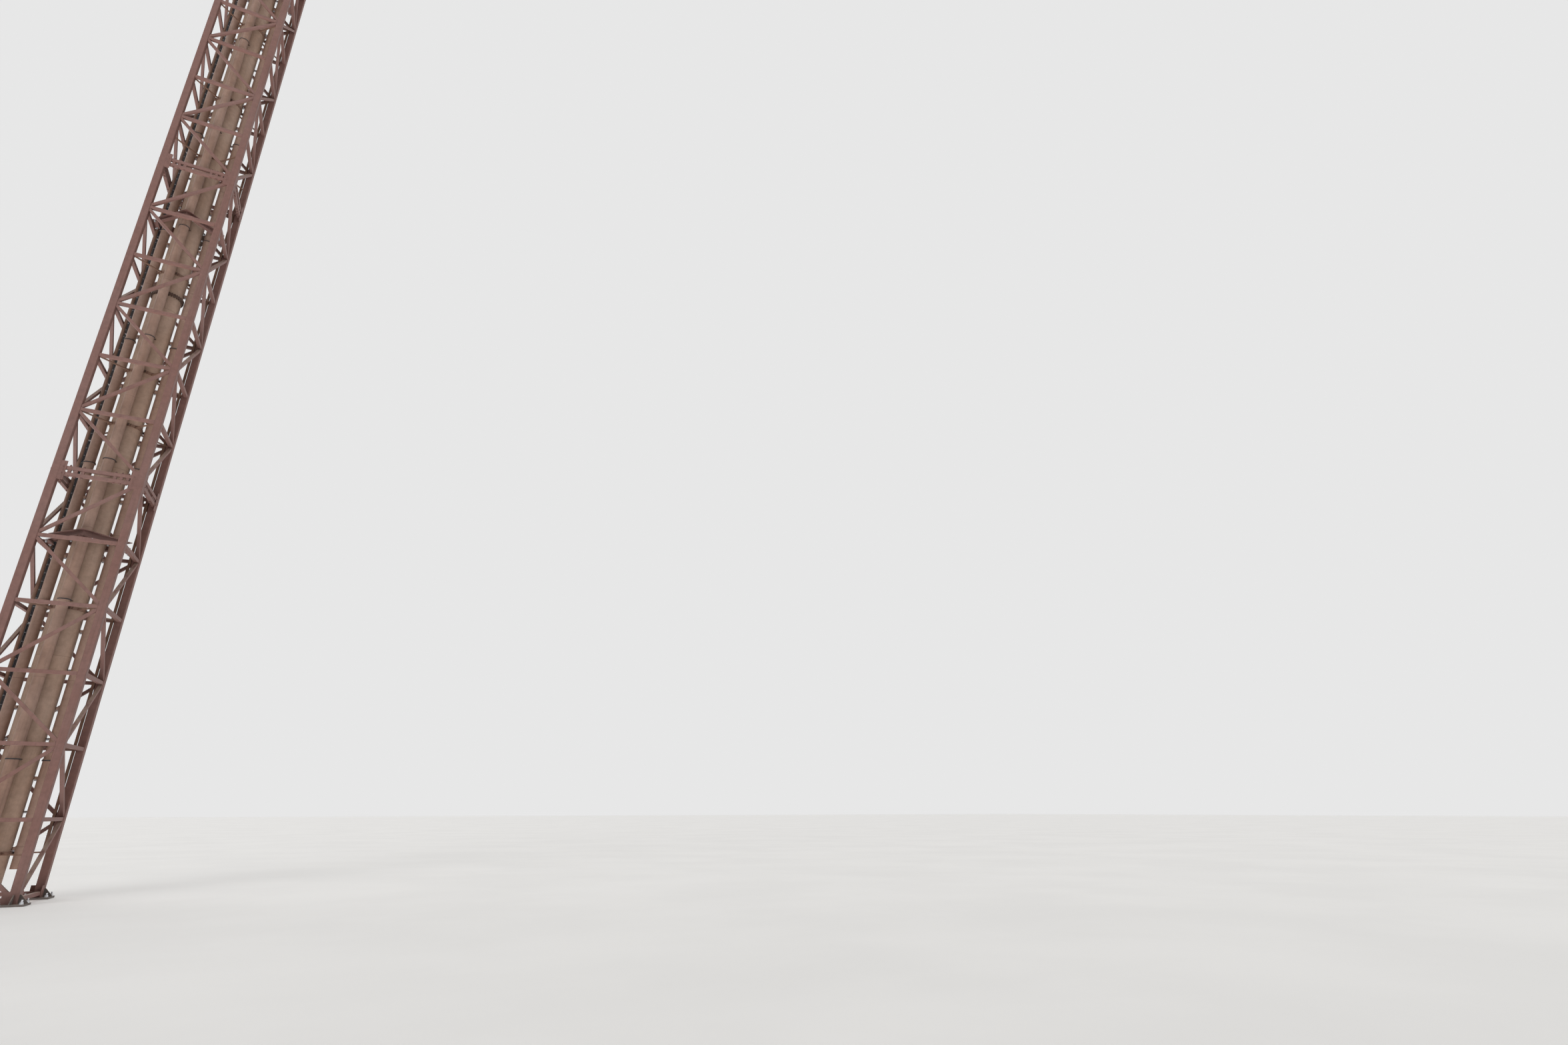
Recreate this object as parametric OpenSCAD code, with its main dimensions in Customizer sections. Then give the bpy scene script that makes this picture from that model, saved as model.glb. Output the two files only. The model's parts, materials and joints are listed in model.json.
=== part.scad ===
// Drop tower ride mast, a scale model at half of the real size.
// A square steel lattice of bolted sections holds a central air pipe and four air cylinders.
// The front is at -Y, up is +Z and the origin is at the middle of the foundation plane.

/* [Tower] */
// Width of the square mast over its legs
tower_w = 1125; // [900:5:1600]
// Panels of bracing in one section
panel_count = 6; // [4:2:8]
// Height of one panel between horizontals
panel_h = 975; // [700:5:1300]
// Distance from a section's end to the middle of its end horizontal
end_offset = 50; // [45:1:80]

/* [Legs] */
// Width of a square leg
leg_w = 100; // [70:1:140]
// Radius of the rounded corners of a leg
leg_corner_r = 10; // [4:1:14]
// Thickness of the splice plate at each end of a leg
splice_t = 12; // [6:1:20]
// How far a splice plate reaches inward past the leg
splice_reach = 45; // [20:1:70]
// Width of the splice ears that stand beside a leg in the plane of a face
ear_w = 70; // [40:1:100]
// Height of a splice ear from the end of a section
ear_h = 150; // [90:1:220]
// Thickness of a splice ear
ear_t = 8; // [4:1:9]

/* [Bracing] */
// Width of a square horizontal brace
brace_w = 50; // [40:1:70]
// Width of a square diagonal brace
diagonal_w = 44; // [30:1:48]
// Setback of the braces behind the outer face of the legs
brace_inset = 10; // [9:1:20]
// Height between a horizontal and the point where a diagonal meets the leg
diagonal_offset = 46; // [30:1:60]
// Width of the packers between the end horizontals of two sections
packer_w = 40; // [20:1:50]
// Depth of a packer
packer_depth = 36; // [20:1:46]
// Distance between packers, and from a splice ear to half of a packer
packer_pitch = 80; // [60:1:100]
// Packers beside each leg
packer_count = 3; // [1:1:4]

/* [Base] */
// Thickness of the base plates
base_t = 25; // [15:1:50]
// Width of a square base plate under a leg
base_w = 300; // [220:1:400]
// Distance between the anchor holes of a base plate
anchor_pitch = 230; // [160:1:300]
// Diameter of an anchor hole
anchor_hole = 27; // [14:1:40]
// Height of the stiffening ribs on a base plate
rib_h = 110; // [60:1:200]
// Thickness of the stiffening ribs
rib_t = 12; // [6:1:20]

/* [Air pipes] */
// Diameter of the central air pipe
main_pipe_d = 406; // [300:1:440]
// Diameter of an air cylinder
cylinder_d = 136; // [100:1:150]
// Distance from the middle of the mast to the middle of an air cylinder
cylinder_reach = 311; // [300:1:340]
// Diameter of the foot flange of the central air pipe
main_foot_d = 480; // [460:1:484]
// Height of the lower end of the air cylinders
cylinder_start = 420; // [100:5:700]
// Gap between the top of the air pipes and the top of the last section
pipe_top_gap = 300; // [150:5:500]
// Height of the flange joint of the central air pipe above the start of a section
flange_start = 3527; // [3300:1:3600]
// Diameter of those flanges
flange_d = 462; // [430:1:470]
// Thickness of one of the two flanges
flange_t = 16; // [8:1:18]
// Gap between the two flanges, filled by the gasket
gasket_t = 4; // [2:1:6]

/* [Cylinder joints] */
// Height of the lowest joint of an air cylinder
joint_first = 1820; // [900:5:2200]
// Distance between the joints of an air cylinder
joint_pitch = 2250; // [1200:5:3000]
// Thickness of a joint collar, measured outward from the cylinder
joint_rise = 7; // [3:1:9]
// Height of a joint collar
joint_h = 34; // [16:1:60]

/* [Pipe supports] */
// Height of a clamp band on the central air pipe
band_h = 44; // [36:1:70]
// Thickness of a clamp band
band_t = 10; // [5:1:14]
// Clearance between a clamp band and the pipe inside it
band_gap = 0.3; // [0.2:0.1:1]
// Width of a strut from a leg to a clamp band
strut_w = 20; // [14:1:40]
// Height of a strut
strut_h = 20; // [14:1:30]
// Thickness of the gusset over a strut at the clamp band
gusset_t = 8; // [4:1:12]
// Length of a gusset along its strut
gusset_len = 130; // [60:1:200]
// How far the top of a gusset lies below the top of the clamp band
gusset_drop = 4; // [2:1:10]
// Height of a spacer clip between a cylinder and the central air pipe
clip_h = 40; // [20:1:60]
// Width of a spacer clip
clip_w = 44; // [20:1:60]
// How far a pad stands off the central air pipe
pad_rise = 12; // [8:1:20]

/* [Cylinder frames] */
// Clearance between a frame's channels and the joint collars inside it
frame_gap = 8; // [4:1:20]
// Height of a channel
channel_h = 100; // [60:1:140]
// Width of a channel's flanges
channel_w = 60; // [50:1:75]
// Thickness of a channel
channel_t = 8; // [5:1:12]
// Height of a frame's underside above the horizontals that carry it
frame_rise = 52; // [30:1:90]
// Length of a seat plate along its horizontal
seat_len = 250; // [160:1:260]
// Clearance between the end of a seat plate and the riser pipe
seat_gap = 7; // [5:1:20]
// How far a seat plate reaches inward past its post
seat_margin = 8; // [4:1:20]
// Thickness of a seat plate
seat_t = 10; // [6:1:16]
// Width of the post between a seat plate and the frame
post_w = 50; // [30:1:70]

/* [Riser and duct] */
// Diameter of the riser pipe inside the left face
riser_d = 56; // [30:1:60]
// Distance of the riser pipe behind the middle of the left face
riser_back = 135; // [125:1:200]
// Gap between the riser pipe and the braces
riser_gap = 0.3; // [0.2:0.1:1]
// Width of the cable duct inside the back face
duct_w = 36; // [24:1:50]
// Depth of the cable duct
duct_depth = 24; // [16:1:36]
// Gap between the cable duct and the back right leg
duct_gap = 12; // [6:1:30]
// Height of the lower end of the riser pipe and the cable duct
riser_start = 600; // [300:5:900]

/* [Head] */
// Height of the beams that carry the sheaves
head_beam_h = 120; // [80:1:200]
// Width of those beams
head_beam_w = 60; // [40:1:80]
// Diameter of a sheave over its rims
sheave_d = 330; // [240:1:360]
// Width of a sheave
sheave_w = 44; // [30:1:60]
// Depth of the rope groove
groove_depth = 16; // [8:1:22]
// Thickness of a sheave's rim below the groove
rim_t = 18; // [10:1:30]
// Thickness of a sheave's web
web_t = 14; // [8:1:24]
// Diameter of a sheave's hub
hub_d = 96; // [70:1:140]
// Diameter of a sheave pin
pin_d = 40; // [24:1:50]
// Thickness of a sheave cheek plate
cheek_t = 12; // [8:1:20]
// Width of a cheek plate
cheek_w = 120; // [90:1:160]
// Clearance between a sheave and its cheek plates
cheek_gap = 4; // [2:1:8]
// Clearance between a sheave pin and the holes round it
pin_gap = 0.3; // [0.1:0.1:0.6]
// How far a sheave pin stands out of each cheek plate
pin_end = 6; // [2:1:12]

/* [Hidden] */
$fn = 48;

// Bolted sections, one group of nodes for each
section_count = 5;

half_w = tower_w / 2;
leg_mid = half_w - leg_w / 2;
clear_span = tower_w - 2 * leg_w;
section_h = panel_count * panel_h + 2 * end_offset;
mast_top = base_t + section_count * section_h;
pipe_top = mast_top - pipe_top_gap;
main_r = main_pipe_d / 2;
cylinder_r = cylinder_d / 2;
joint_count = floor((pipe_top - joint_first - joint_h) / joint_pitch) + 1;
// Heights of the pipe supports in panels, counted down from a section's top
even_support_levels = [2, 4, 5];
odd_support_levels = [2, 4, 5.45];
// Heights of the spacer clips in panels, counted down from a section's top
even_clip_levels = [0.44, 1.31, 2.29, 3.27, 4.25, 5.23];
odd_clip_levels = [0.17, 1.16, 2.3, 3.46, 4.44, 5.38];
// Panel point of a section that carries a frame round the air cylinders
frame_level = 1;
// Sections in which the central air pipe has a flange joint
flange_sections = [2, 4];
pad_face = main_r + pad_rise;
// Distance from the middle of the mast to the inner face of a frame's channels
frame_reach = cylinder_reach / sqrt(2) + cylinder_r + joint_rise + frame_gap;
brace_inner = half_w - brace_inset - brace_w;
sheave_x = cylinder_reach + sheave_d / 2 - groove_depth;
sheave_z = mast_top + head_beam_h + sheave_d / 2 + cheek_gap;

function section_z(number) = base_t + (number - 1) * section_h;
function level_z(number, level) = section_z(number) + end_offset + (panel_count - level) * panel_h;

// Heights of all spacer clips that lie below the top of the air pipes
clip_heights = [
    for (number = [1:section_count], level = number % 2 == 0 ? even_clip_levels : odd_clip_levels)
        if (level_z(number, level) + clip_h < pipe_top)
            level_z(number, level)
];

// An upright square bar with rounded corners, standing on z = 0
module rounded_bar(width, height, corner_r) {
    flat = width - 2 * corner_r;
    translate([-flat / 2, -width / 2, 0])
        cube([flat, width, height]);
    translate([-width / 2, -flat / 2, 0])
        cube([width, flat, height]);
    for (x = [-1, 1], y = [-1, 1])
        translate([x * flat / 2, y * flat / 2, 0])
        cylinder(h = height, r = corner_r);
}

// One leg of a section with its splice plates and splice ears, at the front right corner
module leg(number) {
    plate_w = leg_w + splice_reach;
    corner = half_w - plate_w;
    z0 = section_z(number);
    translate([leg_mid, -leg_mid, z0])
        rounded_bar(leg_w, section_h, leg_corner_r);
    for (z = [z0, z0 + section_h - splice_t])
        translate([corner, -half_w, z])
        cube([plate_w, plate_w, splice_t]);
    for (z = [z0, z0 + section_h - ear_h])
        for (side = [0, 1])
            mirror([side, side, 0])
            translate([half_w - leg_w - ear_w, -half_w + brace_inset - ear_t, z])
            cube([ear_w + leg_corner_r, ear_t, ear_h]);
}

// The four legs of one section
module section_legs(number) {
    color("tan")
    for (turn = [0:90:270])
        rotate([0, 0, turn])
        leg(number);
}

// A diagonal from (x0, z0) to (x1, z1), run on past both ends and centred on the face's mid plane
module diagonal(x0, z0, x1, z1) {
    run = x1 - x0;
    rise = z1 - z0;
    length = sqrt(run * run + rise * rise) + 2 * diagonal_w;
    translate([(x0 + x1) / 2, 0, (z0 + z1) / 2])
        rotate([0, -atan2(rise, run), 0])
        cube([length, diagonal_w, diagonal_w], center = true);
}

// The packers on one end horizontal, which bear on those of the next section
module packers(z) {
    first = clear_span / 2 - ear_w - packer_pitch / 2;
    for (side = [-1, 1], k = [0:packer_count - 1])
        translate([side * (first - k * packer_pitch) - packer_w / 2, -packer_depth / 2, z])
        cube([packer_w, packer_depth, end_offset]);
}

// Bracing of one face of one section. The diagonals meet on the even side at even panel points.
module face_bracing(number, even_side) {
    half_span = clear_span / 2;
    z0 = section_z(number);
    translate([0, -half_w + brace_inset + brace_w / 2, 0]) {
        for (level = [0:panel_count])
            translate([-half_span, -brace_w / 2, level_z(number, level) - brace_w / 2])
            cube([clear_span, brace_w, brace_w]);
        packers(z0 + section_h - end_offset);
        if (number > 1)
            packers(z0);
        intersection() {
            translate([-half_span, -brace_w / 2, z0 + end_offset])
                cube([clear_span, brace_w, panel_count * panel_h]);
            for (level = [0:panel_count - 1]) {
                start_side = (level % 2 == 0) ? even_side : -even_side;
                diagonal(start_side * half_span, level_z(number, level) - diagonal_offset,
                    -start_side * half_span, level_z(number, level + 1) + diagonal_offset);
            }
        }
    }
}

module section_face(number, turn, even_side) {
    color("rosybrown")
    rotate([0, 0, turn])
        face_bracing(number, even_side);
}

// A clamp band round the central air pipe with four struts and gussets to the legs
module pipe_support(z) {
    inner_r = main_r + band_gap;
    outer_r = inner_r + band_t;
    gusset_top = band_h - strut_h / 2 - gusset_drop;
    leg_corner = half_w - leg_w;
    strut_end = leg_corner * sqrt(2) + leg_w / 2;
    translate([0, 0, z - strut_h / 2])
    difference() {
        union() {
            cylinder(h = band_h, r = outer_r);
            for (turn = [45:90:315])
                rotate([0, 0, turn])
                translate([0, -strut_w / 2, 0])
                cube([strut_end, strut_w, strut_h]);
            for (turn = [45:90:315])
                rotate([0, 0, turn])
                translate([outer_r - band_t / 2, gusset_t / 2, strut_h / 2])
                rotate([90, 0, 0])
                linear_extrude(gusset_t)
                polygon([
                    [0, 0],
                    [gusset_len, 0],
                    [band_t, gusset_top],
                    [0, gusset_top]
                ]);
        }
        translate([0, 0, -1])
            cylinder(h = band_h + 2, r = inner_r);
        for (turn = [0:90:270])
            rotate([0, 0, turn])
            translate([leg_corner, leg_corner, -1])
            cube([leg_w, leg_w, band_h + 2]);
    }
}

module section_supports(number) {
    color("peru")
    for (level = number % 2 == 0 ? even_support_levels : odd_support_levels)
        pipe_support(level_z(number, level));
}

// A square ring standing on z = 0, turned so that its corners point at the four faces
module turned_ring(inner_reach, wall, height) {
    outer_reach = inner_reach + wall;
    rotate([0, 0, 45])
    difference() {
        translate([-outer_reach, -outer_reach, 0])
            cube([2 * outer_reach, 2 * outer_reach, height]);
        translate([-inner_reach, -inner_reach, -1])
            cube([2 * inner_reach, 2 * inner_reach, height + 2]);
    }
}

// A seat plate on the horizontal of the front face, with the post that carries the frame's corner
module frame_seat() {
    web_corner = (frame_reach + channel_t) * sqrt(2);
    post_front = (frame_reach + channel_w) * sqrt(2) - post_w / 2;
    seat_front = half_w - brace_inset;
    seat_start = riser_back - riser_d / 2 - seat_gap;
    translate([-seat_start, -seat_front, 0])
        cube([seat_len, seat_front - web_corner + seat_margin, seat_t]);
    translate([-post_w / 2, -post_front, 0])
        cube([post_w, post_front - web_corner, frame_rise + channel_t / 2]);
}

// The frame of four channels round the air cylinders, with a seat on each face
module cylinder_frame(z) {
    translate([0, 0, z + brace_w / 2]) {
        translate([0, 0, frame_rise]) {
            turned_ring(frame_reach, channel_t, channel_h);
            for (flange_z = [0, channel_h - channel_t])
                translate([0, 0, flange_z])
                turned_ring(frame_reach, channel_w, channel_t);
        }
        for (turn = [0:90:270])
            rotate([0, 0, turn])
            frame_seat();
    }
}

module cylinder_frames() {
    color("rosybrown")
    for (number = [1:section_count])
        cylinder_frame(level_z(number, frame_level));
}

// The pads on the central air pipe that the spacer clips bear on
module clip_pads(z) {
    for (turn = [0:90:270])
        rotate([0, 0, turn])
        translate([0, -clip_w / 2, z - clip_h / 2])
        cube([pad_face, clip_w, clip_h]);
}

module main_air_pipe() {
    color("burlywood")
    union() {
        cylinder(h = pipe_top, r = main_r, $fn = 96);
        cylinder(h = base_t, d = main_foot_d, $fn = 96);
        for (number = flange_sections, z = [0, flange_t + gasket_t])
            translate([0, 0, section_z(number) + flange_start + z])
            cylinder(h = flange_t, d = flange_d, $fn = 96);
        for (z = clip_heights)
            clip_pads(z);
    }
}

// An air cylinder on the +X side, with its foot, joint collars and spacer clips
module air_cylinder() {
    translate([cylinder_reach, 0, 0]) {
        translate([0, 0, cylinder_start])
            cylinder(h = pipe_top - cylinder_start, r = cylinder_r);
        for (k = [0:joint_count - 1])
            translate([0, 0, joint_first + k * joint_pitch])
            cylinder(h = joint_h, r = cylinder_r + joint_rise);
    }
    for (z = clip_heights)
        translate([pad_face, -clip_w / 2, z - clip_h / 2])
        cube([cylinder_reach - pad_face, clip_w, clip_h]);
}

module turned_cylinder(turn) {
    color("wheat")
    rotate([0, 0, turn])
        air_cylinder();
}

// The base plate under the front right leg, with its anchor holes and four ribs
module base_plate() {
    rib_len = (base_w - leg_w) / 2;
    translate([leg_mid, -leg_mid, 0]) {
        difference() {
            translate([-base_w / 2, -base_w / 2, 0])
                cube([base_w, base_w, base_t]);
            for (x = [-1, 1], y = [-1, 1])
                translate([x * anchor_pitch / 2, y * anchor_pitch / 2, -1])
                cylinder(h = base_t + 2, d = anchor_hole);
        }
        for (turn = [270, 0])
            rotate([0, 0, turn])
            translate([leg_w / 2, rib_t / 2, base_t])
            rotate([90, 0, 0])
            linear_extrude(rib_t)
                polygon([[0, 0], [rib_len, 0], [rib_len, rib_t], [rib_t, rib_h], [0, rib_h]]);
    }
}

module base_plates() {
    color("dimgray")
    for (turn = [0:90:270])
        rotate([0, 0, turn])
        base_plate();
}

// The small riser pipe that runs up inside the left face
module riser_pipe() {
    color("peru")
    translate([-brace_inner + riser_gap + riser_d / 2, riser_back, riser_start])
        cylinder(h = pipe_top - riser_start, d = riser_d);
}

// The cable duct that runs up inside the back face beside the leg
module cable_duct() {
    color("peru")
    translate([half_w - leg_w - duct_gap - duct_w, brace_inner - duct_depth, riser_start])
        cube([duct_w, duct_depth, pipe_top - riser_start]);
}

// One cheek plate of a sheave on the +X side
module cheek() {
    plate_h = sheave_z - mast_top - head_beam_h;
    rotate([90, 0, 0])
    linear_extrude(cheek_t)
    difference() {
        union() {
            translate([-cheek_w / 2, -plate_h])
                square([cheek_w, plate_h]);
            circle(d = cheek_w);
        }
        circle(d = pin_d + 2 * pin_gap);
    }
}

// The ring of beams on top of the legs, the cross beams and the cheek plates on them
module head_frame() {
    beam_side = sheave_w / 2 + cheek_gap;
    color("tan")
    union() {
        for (turn = [0:90:270])
            rotate([0, 0, turn]) {
                translate([-half_w, -half_w, mast_top])
                    cube([tower_w, leg_w, head_beam_h]);
                for (side = [0, 1])
                    mirror([0, side, 0]) {
                        translate([beam_side, beam_side, mast_top])
                            cube([half_w - beam_side, head_beam_w, head_beam_h]);
                        translate([sheave_x, beam_side + cheek_t, sheave_z])
                            cheek();
                    }
            }
    }
}

module sheave() {
    rim = sheave_d / 2;
    groove_r = rim - groove_depth;
    web_r = groove_r - rim_t;
    bore = pin_d / 2 + pin_gap;
    rotate([90, 0, 0])
    rotate_extrude($fn = 64)
        polygon([
            [bore, -sheave_w / 2],
            [hub_d / 2, -sheave_w / 2],
            [hub_d / 2, -web_t / 2],
            [web_r, -web_t / 2],
            [web_r, -sheave_w / 2],
            [rim, -sheave_w / 2],
            [groove_r, -sheave_w / 8],
            [groove_r, sheave_w / 8],
            [rim, sheave_w / 2],
            [web_r, sheave_w / 2],
            [web_r, web_t / 2],
            [hub_d / 2, web_t / 2],
            [hub_d / 2, sheave_w / 2],
            [bore, sheave_w / 2]
        ]);
}

module sheaves() {
    color("slategray")
    for (turn = [0:90:270])
        rotate([0, 0, turn])
        translate([sheave_x, 0, sheave_z])
        sheave();
}

module sheave_pins() {
    color("silver")
    for (turn = [0:90:270])
        rotate([0, 0, turn])
        translate([sheave_x, 0, sheave_z])
        rotate([90, 0, 0])
        cylinder(h = sheave_w + 2 * (cheek_gap + cheek_t + pin_end), d = pin_d, center = true);
}

base_plates();
section_legs(1);  // section_1_legs
section_legs(2);  // section_2_legs
section_legs(3);  // section_3_legs
section_legs(4);  // section_4_legs
section_legs(5);  // section_5_legs
section_face(1, 0, 1);  // section_1_front_lattice
section_face(1, 90, -1);  // section_1_right_lattice
section_face(1, 180, 1);  // section_1_back_lattice
section_face(1, 270, -1);  // section_1_left_lattice
section_face(2, 0, 1);  // section_2_front_lattice
section_face(2, 90, -1);  // section_2_right_lattice
section_face(2, 180, 1);  // section_2_back_lattice
section_face(2, 270, -1);  // section_2_left_lattice
section_face(3, 0, 1);  // section_3_front_lattice
section_face(3, 90, -1);  // section_3_right_lattice
section_face(3, 180, 1);  // section_3_back_lattice
section_face(3, 270, -1);  // section_3_left_lattice
section_face(4, 0, 1);  // section_4_front_lattice
section_face(4, 90, -1);  // section_4_right_lattice
section_face(4, 180, 1);  // section_4_back_lattice
section_face(4, 270, -1);  // section_4_left_lattice
section_face(5, 0, 1);  // section_5_front_lattice
section_face(5, 90, -1);  // section_5_right_lattice
section_face(5, 180, 1);  // section_5_back_lattice
section_face(5, 270, -1);  // section_5_left_lattice
section_supports(1);  // section_1_pipe_supports
section_supports(2);  // section_2_pipe_supports
section_supports(3);  // section_3_pipe_supports
section_supports(4);  // section_4_pipe_supports
section_supports(5);  // section_5_pipe_supports
cylinder_frames();
main_air_pipe();
turned_cylinder(270);  // front_air_cylinder
turned_cylinder(0);  // right_air_cylinder
turned_cylinder(90);  // back_air_cylinder
turned_cylinder(180);  // left_air_cylinder
riser_pipe();
cable_duct();
head_frame();
sheaves();
sheave_pins();
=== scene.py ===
"""Dresses the drop tower mast.

Gives the steelwork its aged paint, and adds the bolts, welds, straps, clamps and cables.
"""

import json
import math
import random

import bpy
from mathutils import Matrix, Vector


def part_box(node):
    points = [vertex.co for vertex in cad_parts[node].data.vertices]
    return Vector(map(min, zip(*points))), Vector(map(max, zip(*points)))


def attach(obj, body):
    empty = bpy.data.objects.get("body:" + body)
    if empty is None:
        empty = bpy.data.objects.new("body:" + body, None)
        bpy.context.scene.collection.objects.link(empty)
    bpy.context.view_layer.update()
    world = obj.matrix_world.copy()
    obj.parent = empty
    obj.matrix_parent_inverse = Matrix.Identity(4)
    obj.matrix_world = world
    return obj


bl_info = {
    "name": "Drop Tower Mast",
    "version": (1, 0, 0),
    "blender": (4, 5, 0),
    "location": "View3D > Sidebar > Mast",
    "description": "Paints a lattice mast and adds its bolts, welds, clamps, cables and stage",
    "category": "Object",
}

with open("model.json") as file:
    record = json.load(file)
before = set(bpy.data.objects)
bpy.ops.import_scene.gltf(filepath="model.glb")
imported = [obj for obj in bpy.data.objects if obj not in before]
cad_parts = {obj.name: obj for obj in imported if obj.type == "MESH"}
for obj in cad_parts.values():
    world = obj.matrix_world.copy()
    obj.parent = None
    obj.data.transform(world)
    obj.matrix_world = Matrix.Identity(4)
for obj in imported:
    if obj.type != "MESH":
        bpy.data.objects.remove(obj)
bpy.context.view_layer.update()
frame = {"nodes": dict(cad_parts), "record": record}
NODES = frame["nodes"]

# Sizes of the CAD model that the small pieces are placed by, in metres and degrees. Levels are
# counted in panels from the top of a section. Of two rows, the first is for even sections.
SECTIONS = 5
PANELS = 6
PANEL_H = 0.975
END_OFFSET = 0.05
BRACE_W = 0.05
BRACE_INSET = 0.01
DIAGONAL_W = 0.044
DIAGONAL_OFFSET = 0.046
SPLICE_T = 0.012
SPLICE_REACH = 0.045
SPLICE_BOLT_EDGE = 0.03
EAR_W = 0.07
EAR_T = 0.008
PACKER_PITCH = 0.08
PACKERS = 3
FLANGE_START = 3.527
FLANGE_H = 0.036
FLANGE_SECTIONS = (2, 4)
SEAT_MID = 0.025
SEAT_T = 0.01
SEAT_BOLT_INSET = 0.034
CYLINDER_REACH = 0.311
CYLINDER_R = 0.068
COLLAR_R = 0.075
COLLAR_H = 0.034
JOINT_FIRST = 1.82
JOINT_PITCH = 2.25
CYLINDER_WELDS = (JOINT_PITCH, 0.7)  # spacing, and height of the first one
PIPE_WELDS = (2.975, 0.31)
CLIP_H = 0.04
CLIP_BOLT_REACH = 0.2285
CLIP_LEVELS = ((0.44, 1.31, 2.29, 3.27, 4.25, 5.23), (0.17, 1.16, 2.3, 3.46, 4.44, 5.38))
BAND_H = 0.044
BAND_T = 0.008
CLAMP_TURNS = (22.5, 112.5, 202.5, 292.5)
STRUT_H = 0.02
SUPPORT_LEVELS = ((2, 4, 5), (2, 4, 5.45))
CABLE_X, CABLE_Y = -0.432, 0.124
CABLE_BRACKETS = (0.35, 1.18, 2.2, 3.2, 4.2, 5.25)
ANCHOR_PITCH = 0.23
LEG_W = 0.1
PIPE_R = 0.203
FACE_TURNS = (0, 90, 180, 270)

LEG_LOW, LEG_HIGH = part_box("section_1_legs")
HALF_W = LEG_HIGH.x
BASE_T = LEG_LOW.z
SECTION_H = LEG_HIGH.z - LEG_LOW.z
INNER_X = HALF_W - LEG_W
LEG_MID = HALF_W - LEG_W / 2
BRACE_Y = -HALF_W + BRACE_INSET + BRACE_W / 2
RISER_LOW, RISER_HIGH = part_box("riser_pipe")
PIPE_TOP = RISER_HIGH.z

# The camera that took the photograph, fitted to the mast, in metres, degrees and millimetres
CAMERA_PLACE = (4.106, -15.18, 1.154)
CAMERA_PITCH, CAMERA_ROLL, CAMERA_YAW = 20.123, 0.062, -27.807
SENSOR_W = 36.0
VIEW_END = 500.0

FACING = 0.9  # how far along an axis a face's normal points, when it faces that way
SMOOTH_ANGLE = 32


def section_z(number):
    """Height of the lower end of a section."""
    return BASE_T + (number - 1) * SECTION_H


def level_z(number, level):
    """Height of a panel point, counted down from the top of a section."""
    return section_z(number) + END_OFFSET + (PANELS - level) * PANEL_H


# ---------------------------------------------------------------- settings


class MastColours(bpy.types.PropertyGroup):
    """Paint and dirt colours, in linear light."""

    leg: bpy.props.FloatVectorProperty(
        name="Legs", description="Paint of the legs",
        subtype="COLOR", default=(0.199, 0.104, 0.088),
    )
    brace: bpy.props.FloatVectorProperty(
        name="Braces", description="Paint of the lattice",
        subtype="COLOR", default=(0.213, 0.114, 0.097),
    )
    # Painted light: the pipe's tan paint is written lighter than it is, to stand in for the light
    # that reaches it inside the lattice.
    pipe: bpy.props.FloatVectorProperty(
        name="Central pipe", description="Paint of the central pipe",
        subtype="COLOR", default=(0.385, 0.257, 0.189),
    )
    # Painted light: the cylinders' tan paint is written lighter than it is, to stand in for the
    # light that reaches them inside the lattice.
    cylinder: bpy.props.FloatVectorProperty(
        name="Cylinders", description="Paint of the air cylinders",
        subtype="COLOR", default=(0.33, 0.208, 0.157),
    )
    support: bpy.props.FloatVectorProperty(
        name="Supports", description="Paint of clamps, struts and riser",
        subtype="COLOR", default=(0.215, 0.122, 0.085),
    )
    # Besides streaks and seams, this is the colour that the painted shade on downward faces and the
    # darkening off the central pipe blend to.
    dirt: bpy.props.FloatVectorProperty(
        name="Dirt", description="Soot and rain streaks",
        subtype="COLOR", default=(0.065, 0.034, 0.026),
    )
    rust: bpy.props.FloatVectorProperty(
        name="Rust", description="Rust at chips and joints",
        subtype="COLOR", default=(0.19, 0.062, 0.02),
    )
    dust: bpy.props.FloatVectorProperty(
        name="Dust", description="Dust on upward faces",
        subtype="COLOR", default=(0.42, 0.34, 0.27),
    )


class MastSizes(bpy.types.PropertyGroup):
    """Sizes of the small pieces."""

    bolt_across: bpy.props.FloatProperty(
        name="Bolt width", description="Across the flats of a bolt head",
        unit="LENGTH", default=0.019,
    )
    ear_bolt_across: bpy.props.FloatProperty(
        name="Ear bolt width", description="Across the flats of a splice ear's bolt",
        unit="LENGTH", default=0.014,
    )
    packer_bolt_across: bpy.props.FloatProperty(
        name="Joint bolt width", description="Across the flats at a section joint",
        unit="LENGTH", default=0.026,
    )
    clip_bolt_across: bpy.props.FloatProperty(
        name="Clip bolt width", description="Across the flats of a spacer clip's bolt",
        unit="LENGTH", default=0.028,
    )
    anchor_across: bpy.props.FloatProperty(
        name="Anchor nut width", description="Across the flats of an anchor nut",
        unit="LENGTH", default=0.036,
    )
    weld_r: bpy.props.FloatProperty(
        name="Weld size", description="Radius of a weld bead",
        unit="LENGTH", default=0.0035,
    )
    cable_d: bpy.props.FloatProperty(
        name="Cable diameter", description="Diameter of a cable in the bundle",
        unit="LENGTH", default=0.017,
    )
    cable_tie_pitch: bpy.props.FloatProperty(
        name="Cable tie pitch", description="Distance between the ties of the bundle",
        unit="LENGTH", default=0.13,
    )


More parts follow.
